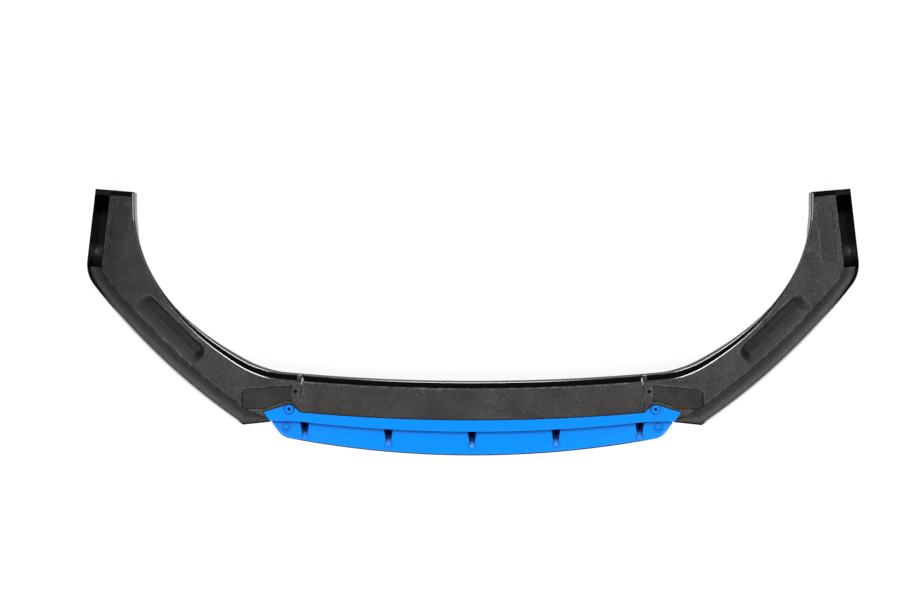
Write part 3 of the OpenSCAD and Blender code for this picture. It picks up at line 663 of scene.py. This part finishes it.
@dataclass(frozen=True)
class BladeAbs:
    """The front blade: a bright blue gloss skin over black moulded ABS.

    The skin is even and smooth on the flange and the sheet. Deep in the hollow fins, below a
    given height, it turns navy, and navy is also painted as shade where the surface is closed
    in: in the foot of the step and in the fins. The edges get a painted highlight. The front lip
    under the roll is taken as bare, and its dark colour paints the shadow line under the front
    edge.

    Attributes:
        blue: Colour of the skin.
        pale: Colour of the painted highlight on its edges.
        navy: Colour deep in the fins, and of the painted shade where the surface is closed in.
        bare: Colour of the bare front lip, which paints the shadow line under the front edge.
        ior: Index of refraction of ABS.
        specular: Strength of the mirror image.
        roughness: Roughness of the skin.
        navy_roughness: Roughness where the colour is navy.
        wave_mm: Length of the sheet's faint waves.
        wave_height_mm: Their height.
        wave_strength: Their strength in the light.
        glint_mm: Reach of the painted highlight along an edge.
        glint_turn: Turn of the surface from no highlight to the full highlight.
        glint_open: Openness from no highlight to the full highlight.
        glint_share: Strength of the painted highlight.
        fin_mm: Reach of the measure that finds the fins and the foot of the step.
        shade_open: Openness from the full painted shade to the full blue.
        lip_z: Top of the bare front lip.
        lip_reach: How far the lip reaches behind the front edge.
        front_bow: How far the front edge curves back, in metres per square metre of distance.
        fin_z: Height over which a fin has its full blue.
        fin_deep_z: Height under which it is fully navy.
    """

    blue: str = "#008dff"
    pale: str = "#30a8ff"
    navy: str = "#001858"
    bare: str = "#1a1512"
    ior: float = 1.5
    specular: float = 0.3
    roughness: float = 0.34
    navy_roughness: float = 0.75
    wave_mm: float = 90.0
    wave_height_mm: float = 0.2
    wave_strength: float = 0.4
    glint_mm: float = 1.2
    glint_turn: Range = (0.1, 0.5)
    glint_open: Range = (0.6, 0.9)
    glint_share: float = 0.5
    fin_mm: float = 20.0
    shade_open: Range = (0.55, 0.94)
    lip_z: float = 52.6 * MM
    lip_reach: float = 15.0 * MM
    front_bow: float = 0.245
    fin_z: float = 53.0 * MM
    fin_deep_z: float = 50.5 * MM

    def build(self, front: float) -> bpy.types.Material:
        """Builds the material.

        Args:
            front: Where the front edge stands at the middle, along Y.

        Returns:
            The material, with the blue skin, its painted highlight and shade, and the dark lip in
            one.
        """
        skin = Skin(Slot.BLADE.value)
        tree = skin.tree
        opened = add_node(tree, Kind.OCCLUSION, {
            "Distance": self.fin_mm * MM}, "AO", samples=RAYS)
        # Painted highlight: edges that turn and stand open are lightened to a paler blue.
        roughness_and_glint = skin.all_of(
            add_node(tree, Kind.RANGE, [
                skin.edge_turn(self.glint_mm), *self.glint_turn, 0.0, self.glint_share]),
            add_node(tree, Kind.RANGE, [opened, *self.glint_open]))
        full = add_node(tree, Kind.MIX, {
            0: roughness_and_glint, 6: linear(self.blue), 7: linear(self.pale)}, 2, data_type="RGBA")
        # Painted shade: navy where the surface is closed in, and deep in the fins below a height.
        navy_share = skin.any_of(
            add_node(tree, Kind.RANGE, [opened, *self.shade_open, 1.0, 0.0]),
            add_node(tree, Kind.RANGE, [skin.z, self.fin_deep_z, self.fin_z, 1.0, 0.0]))
        shaded = add_node(tree, Kind.MIX, {
            0: navy_share, 6: full, 7: linear(self.navy)}, 2, data_type="RGBA")

        # Painted shadow: the dark front lip paints the shadow line under the front edge.
        square = skin.all_of(skin.x, skin.x)
        bow = add_node(tree, Kind.MATH, [square, self.front_bow], operation="MULTIPLY")
        from_middle = add_node(tree, Kind.MATH, [skin.y, front], operation="SUBTRACT")
        behind = add_node(tree, Kind.MATH, [from_middle, bow], operation="SUBTRACT")
        lip = skin.all_of(
            add_node(tree, Kind.MATH, [behind, self.lip_reach], operation="LESS_THAN"),
            add_node(tree, Kind.MATH, [skin.z, self.lip_z], operation="LESS_THAN"))
        colour = add_node(tree, Kind.MIX, {
            0: lip, 6: shaded, 7: linear(self.bare)}, 2, data_type="RGBA")

        wave = add_node(tree, Kind.NOISE, {
            "Vector": skin.place, "Scale": per_metre(self.wave_mm), "Detail": 2.0})
        bump = add_node(tree, Kind.BUMP, {
            "Height": wave, "Strength": self.wave_strength, "Distance": self.wave_height_mm * MM})
        rough = add_node(tree, Kind.RANGE, [navy_share, 0.0, 1.0, self.roughness, self.navy_roughness])
        return skin.finish({
            "Base Color": colour, "IOR": self.ior, "Specular IOR Level": self.specular,
            "Roughness": rough, "Normal": bump})


@dataclass(frozen=True)
class BlackSteel:
    """Black oxide steel of the screws, rolled and heat-treated: dark, with a low oily sheen.

    Attributes:
        body: Colour of the oxide.
        metallic: How metallic it is, under 1 because the oxide is thick.
        roughness: Its roughness.
        roughness_swing: How far the specks change it, up and down.
        speck_mm: Size of the specks.
    """

    body: str = "#101012"
    metallic: float = 0.8
    roughness: float = 0.38
    roughness_swing: float = 0.1
    speck_mm: float = 1.2

    def build(self) -> bpy.types.Material:
        """Builds the material.

        Returns:
            The material.
        """
        skin = Skin(Slot.SCREW.value)
        specks = add_node(skin.tree, Kind.NOISE, {
            "Vector": skin.place, "Scale": per_metre(self.speck_mm), "Detail": 2.0})
        rough = add_node(skin.tree, Kind.RANGE, [
            specks, 0.0, 1.0, self.roughness - self.roughness_swing,
            self.roughness + self.roughness_swing])
        return skin.finish({
            "Base Color": linear(self.body), "Metallic": self.metallic, "Roughness": rough})


@dataclass
class SmoothSkin:
    """A modifier that shades lofted faces smooth and marks the lacquered edges.

    Attributes:
        crease_deg: Edges that turn by more than this stay sharp.
        weld: Corners nearer than this count as one, so that shading runs over them.
        rear_ledge: Lowest and highest height of the rear ledge's faces.
        rear_reach: How far from that ledge the lacquered inner edge reaches.
        outer_ledge: Lowest and highest height of the outer ledge's faces.
        outer_reach: How far from that ledge the lacquered outer edge reaches.
        flat_normal: Faces that look up more squarely than this are the bare plate.
        ledge_normal: Both ledges look up at least as squarely as this.
    """

    crease_deg: float = 16.0
    weld: float = 0.002 * MM
    rear_ledge: Range = (46.0 * MM, 47.5 * MM)
    rear_reach: float = 17.0 * MM
    outer_ledge: Range = (52.5 * MM, 53.6 * MM)
    outer_reach: float = 3.0 * MM
    flat_normal: float = 0.97
    ledge_normal: float = 0.945

    def every(self, group: bpy.types.NodeTree, first: Any, *others: Any) -> Any:
        """Joins answers.

        Args:
            group: The modifier's node tree.
            first: An answer.
            *others: More answers.

        Returns:
            Output that is true where all of them are.
        """
        for other in others:
            first = add_node(group, Kind.BOOLEAN, [first, other], operation="AND")
        return first

    def from_ledge(self, group: bpy.types.NodeTree, mesh: Any, height: Any, up: Any,
                   ledge: Range) -> Any:
        """Measures how far each place is from a ledge.

        Args:
            group: The modifier's node tree.
            mesh: The mesh that has the ledge.
            height: Height of a face.
            up: How squarely a face looks up.
            ledge: Lowest and highest height of the ledge's faces.

        Returns:
            Output with the distance.
        """
        on_ledge = self.every(
            group, add_node(group, Kind.COMPARE, [height, ledge[0]], operation="GREATER_THAN"),
            add_node(group, Kind.COMPARE, [height, ledge[1]], operation="LESS_THAN"),
            add_node(group, Kind.COMPARE, [up, self.ledge_normal], operation="GREATER_THAN"))
        faces = add_node(group, Kind.SEPARATE, {
            "Geometry": mesh, "Selection": on_ledge}, "Selection", domain="FACE")
        return add_node(group, Kind.PROXIMITY, [faces], "Distance", target_element="FACES")

    def mark(self, group: bpy.types.NodeTree, mesh: Any) -> Any:
        """Stores the lacquered edges on the faces, and the distance from the outer ledge.

        Args:
            group: The modifier's node tree.
            mesh: The welded mesh.

        Returns:
            Output with the marked mesh.
        """
        height = add_node(group, Kind.SPLIT, [add_node(group, Kind.POSITION)], 2)
        up = add_node(group, Kind.SPLIT, [add_node(group, Kind.NORMAL)], 2)
        rear = self.from_ledge(group, mesh, height, up, self.rear_ledge)
        outer = self.from_ledge(group, mesh, height, up, self.outer_ledge)
        inner_edge = self.every(
            group, add_node(group, Kind.COMPARE, [rear, self.rear_reach], operation="LESS_THAN"),
            add_node(group, Kind.COMPARE, [up, self.flat_normal], operation="LESS_THAN"))
        outer_edge = self.every(
            group, add_node(group, Kind.COMPARE, [outer, self.outer_reach], operation="LESS_THAN"),
            add_node(group, Kind.COMPARE, [height, self.outer_ledge[1]], operation="LESS_THAN"))
        on_edge = add_node(group, Kind.BOOLEAN, [inner_edge, outer_edge], operation="OR")
        edged = add_node(group, Kind.STORE_ATTRIBUTE, {
            "Geometry": mesh, "Name": EDGE_MARK, "Value": on_edge},
            data_type="BOOLEAN", domain="FACE")
        return add_node(group, Kind.STORE_ATTRIBUTE, {
            "Geometry": edged, "Name": RIM_DISTANCE, "Value": outer},
            data_type="FLOAT", domain="POINT")

    def soften(self, group: bpy.types.NodeTree, mesh: Any) -> Any:
        """Shades the faces smooth, and keeps the edges that turn by more than the crease sharp.

        Args:
            group: The modifier's node tree.
            mesh: The marked mesh.

        Returns:
            Output with the mesh.
        """
        soft = add_node(group, Kind.SHADE_SMOOTH, {
            "Geometry": mesh, "Shade Smooth": True}, domain="FACE")
        angle = add_node(group, Kind.EDGE_ANGLE, output="Unsigned Angle")
        low = add_node(
            group, Kind.COMPARE, [angle, math.radians(self.crease_deg)], operation="LESS_EQUAL")
        return add_node(group, Kind.SHADE_SMOOTH, {
            "Geometry": soft, "Shade Smooth": low}, domain="EDGE")

    def tree(self) -> bpy.types.NodeTree:
        """Builds the modifier's node tree, once for all nodes.

        Returns:
            The node tree.
        """
        group = bpy.data.node_groups.new("smooth_skin", "GeometryNodeTree")
        for way in ("INPUT", "OUTPUT"):
            group.interface.new_socket("Geometry", in_out=way, socket_type="NodeSocketGeometry")
        source = add_node(group, Kind.GROUP_INPUT)
        joined = add_node(group, Kind.WELD, {"Geometry": source, "Distance": self.weld})
        plain = add_node(group, Kind.DROP_ATTRIBUTE, {
            "Geometry": joined, "Name": "custom_normal"})
        add_node(group, Kind.GROUP_OUTPUT, [self.soften(group, self.mark(group, plain))])
        return group


@dataclass
class Lip:
    """The lip itself: the frame's nodes with their finishes.

    Attributes:
        nodes: The frame's nodes by name.
        slots: The material slot of each node, from the record.
        skin: How lofted faces are shaded.
        arm_toe: How far the arm's end stands inside the widest place.
    """

    nodes: dict[str, bpy.types.Object]
    slots: dict[str, Slot]
    skin: SmoothSkin = field(default_factory=SmoothSkin)
    arm_toe: float = 18.2 * MM

    def arm_end(self) -> ArmEnd:
        """Gives the winglet at the arm's end, placed from the frame."""
        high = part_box("right_wing")[1]
        return ArmEnd(Vector((high.x - self.arm_toe, high.y, high.z)))

    def dress(self) -> None:
        """Gives each node its finish and its shading."""
        finishes = {
            Slot.BOARD: BoardAbs().build(self.arm_end()),
            Slot.BLADE: BladeAbs().build(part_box("front_blade")[0].y),
            Slot.SCREW: BlackSteel().build(),
        }
        tree = self.skin.tree()
        for name, node in self.nodes.items():
            node.data.materials.clear()
            node.data.materials.append(finishes[self.slots[name]])
            node.modifiers.new("smooth_skin", "NODES").node_group = tree
            LOG.info("%s: finish %s", name, self.slots[name].value)


@dataclass(frozen=True)
class Softbox:
    """A square softbox that points at the lip.

    Attributes:
        name: The light's name.
        place: Where it hangs.
        side: Its size.
        watts: Its power.
    """

    name: str
    place: tuple[float, float, float]
    side: float
    watts: float

    def hang(self, target: Vector) -> None:
        """Adds the light.

        Args:
            target: What it points at.
        """
        data = bpy.data.lights.new(self.name, "AREA")
        data.size = self.side
        data.energy = self.watts
        light = bpy.data.objects.new(self.name, data)
        light.location = self.place
        way = target - Vector(self.place)
        light.rotation_euler = way.to_track_quat("-Z", "Y").to_euler()
        bpy.context.scene.collection.objects.link(light)


@dataclass
class Studio:
    """Floor, soft lights and the camera over the lip.

    Attributes:
        width_px: Width of the picture.
        lens_mm: Focal length of the camera.
        sensor_mm: Width of its sensor.
        scale_mm: Millimetres of the plate per pixel of the picture.
        clip_end: How far the camera sees.
        centre: What the middle of the picture looks at.
        yaw_deg: Turn of the camera about Y.
        pitch_deg: Turn of the camera about X.
        roll_deg: Turn of the camera about its own axis.
        floor_colour: Colour of the floor's grey paper, which takes only faint shadows.
        floor_roughness: Roughness of the paper.
        floor_specular: Strength of its mirror image.
        floor_size: Side of the floor.
        floor_z: Height of the floor, just under the lip, so that no face of the lip lies in it.
        floor_glow: Light that the paper gives off by itself, so that it looks white.
        room: Strength of the light that comes from all round.
        lights: The softboxes. The wings' inner edge mirrors the rear one, and the flat gloss
            none of them.
    """

    width_px: int = 920
    lens_mm: float = 50.0
    sensor_mm: float = 36.0
    scale_mm: float = 2.1962
    clip_end: float = 50.0
    centre: Vector = field(default_factory=lambda: Vector((-26.6, 33.9, 62.0)) * MM)
    yaw_deg: float = 0.43
    pitch_deg: float = 0.72
    roll_deg: float = 0.03
    floor_colour: str = "#9a9a9a"
    floor_roughness: float = 0.9
    floor_specular: float = 0.1
    floor_size: float = 14.0
    floor_z: float = -0.5 * MM
    floor_glow: float = 0.8
    room: float = 0.08
    lights: tuple[Softbox, ...] = (
        Softbox("rear", (0.0, 1.95, 2.6), 0.7, 52.0),
        Softbox("front_right", (2.7, -1.8, 2.5), 1.6, 98.0),
        Softbox("front_left", (-2.7, -1.8, 2.5), 1.6, 90.0),
    )

    def add_camera(self) -> None:
        """Adds the camera, nearly square over the lip, and makes it the scene's own."""
        data = bpy.data.cameras.new("camera")
        data.lens = self.lens_mm
        data.sensor_width = self.sensor_mm
        data.sensor_fit = "HORIZONTAL"
        data.clip_end = self.clip_end
        data.dof.use_dof = False
        camera = bpy.data.objects.new("camera", data)
        bpy.context.scene.collection.objects.link(camera)
        focal_px = self.lens_mm / self.sensor_mm * self.width_px
        distance = focal_px * self.scale_mm * MM
        turn = (Matrix.Rotation(math.radians(self.yaw_deg), 3, "Y")
                @ Matrix.Rotation(math.radians(self.pitch_deg), 3, "X")
                @ Matrix.Rotation(math.radians(self.roll_deg), 3, "Z"))
        camera.location = self.centre + turn @ Vector((0.0, 0.0, distance))
        camera.rotation_euler = turn.to_euler()
        bpy.context.scene.camera = camera

    def add_floor(self) -> None:
        """Adds the floor: matt grey paper over a light table, which looks white."""
        half = self.floor_size / 2
        corners = [(-half, -half), (half, -half), (half, half), (-half, half)]
        mesh = bpy.data.meshes.new("floor")
        mesh.from_pydata([(x, y, self.floor_z) for x, y in corners], [], [(0, 1, 2, 3)])
        floor = bpy.data.objects.new("floor", mesh)
        bpy.context.scene.collection.objects.link(floor)
        mesh.materials.append(Skin("floor_paper").finish({
            "Base Color": linear(self.floor_colour), "Roughness": self.floor_roughness,
            "Specular IOR Level": self.floor_specular, "Emission Color": linear("#ffffff"),
            "Emission Strength": self.floor_glow}))

    def add_lights(self) -> None:
        """Adds the softboxes, the faint light of the room, and the plain view of colours."""
        for light in self.lights:
            light.hang(self.centre)
        world = bpy.data.worlds.new("studio")
        world.use_nodes = True
        background = world.node_tree.nodes["Background"]
        background.inputs["Color"].default_value = linear("#ffffff")
        background.inputs["Strength"].default_value = self.room
        bpy.context.scene.world = world
        bpy.context.scene.view_settings.view_transform = "Standard"

    def build(self) -> None:
        """Builds the camera, the floor and the lights."""
        self.add_camera()
        self.add_floor()
        self.add_lights()
        LOG.info("studio: camera, floor and %d softboxes", len(self.lights))


def main(frame: dict) -> None:
    """Builds the studio and dresses the lip.
    """
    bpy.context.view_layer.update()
    Studio().build()
    slots = {row["node"]: Slot(row["material_slot"]) for row in frame["record"]["subparts"]}
    Lip(frame["nodes"], slots).dress()


if __name__ == "__main__":
    logging.basicConfig(level=logging.INFO, format="%(name)s: %(message)s")
    main(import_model())
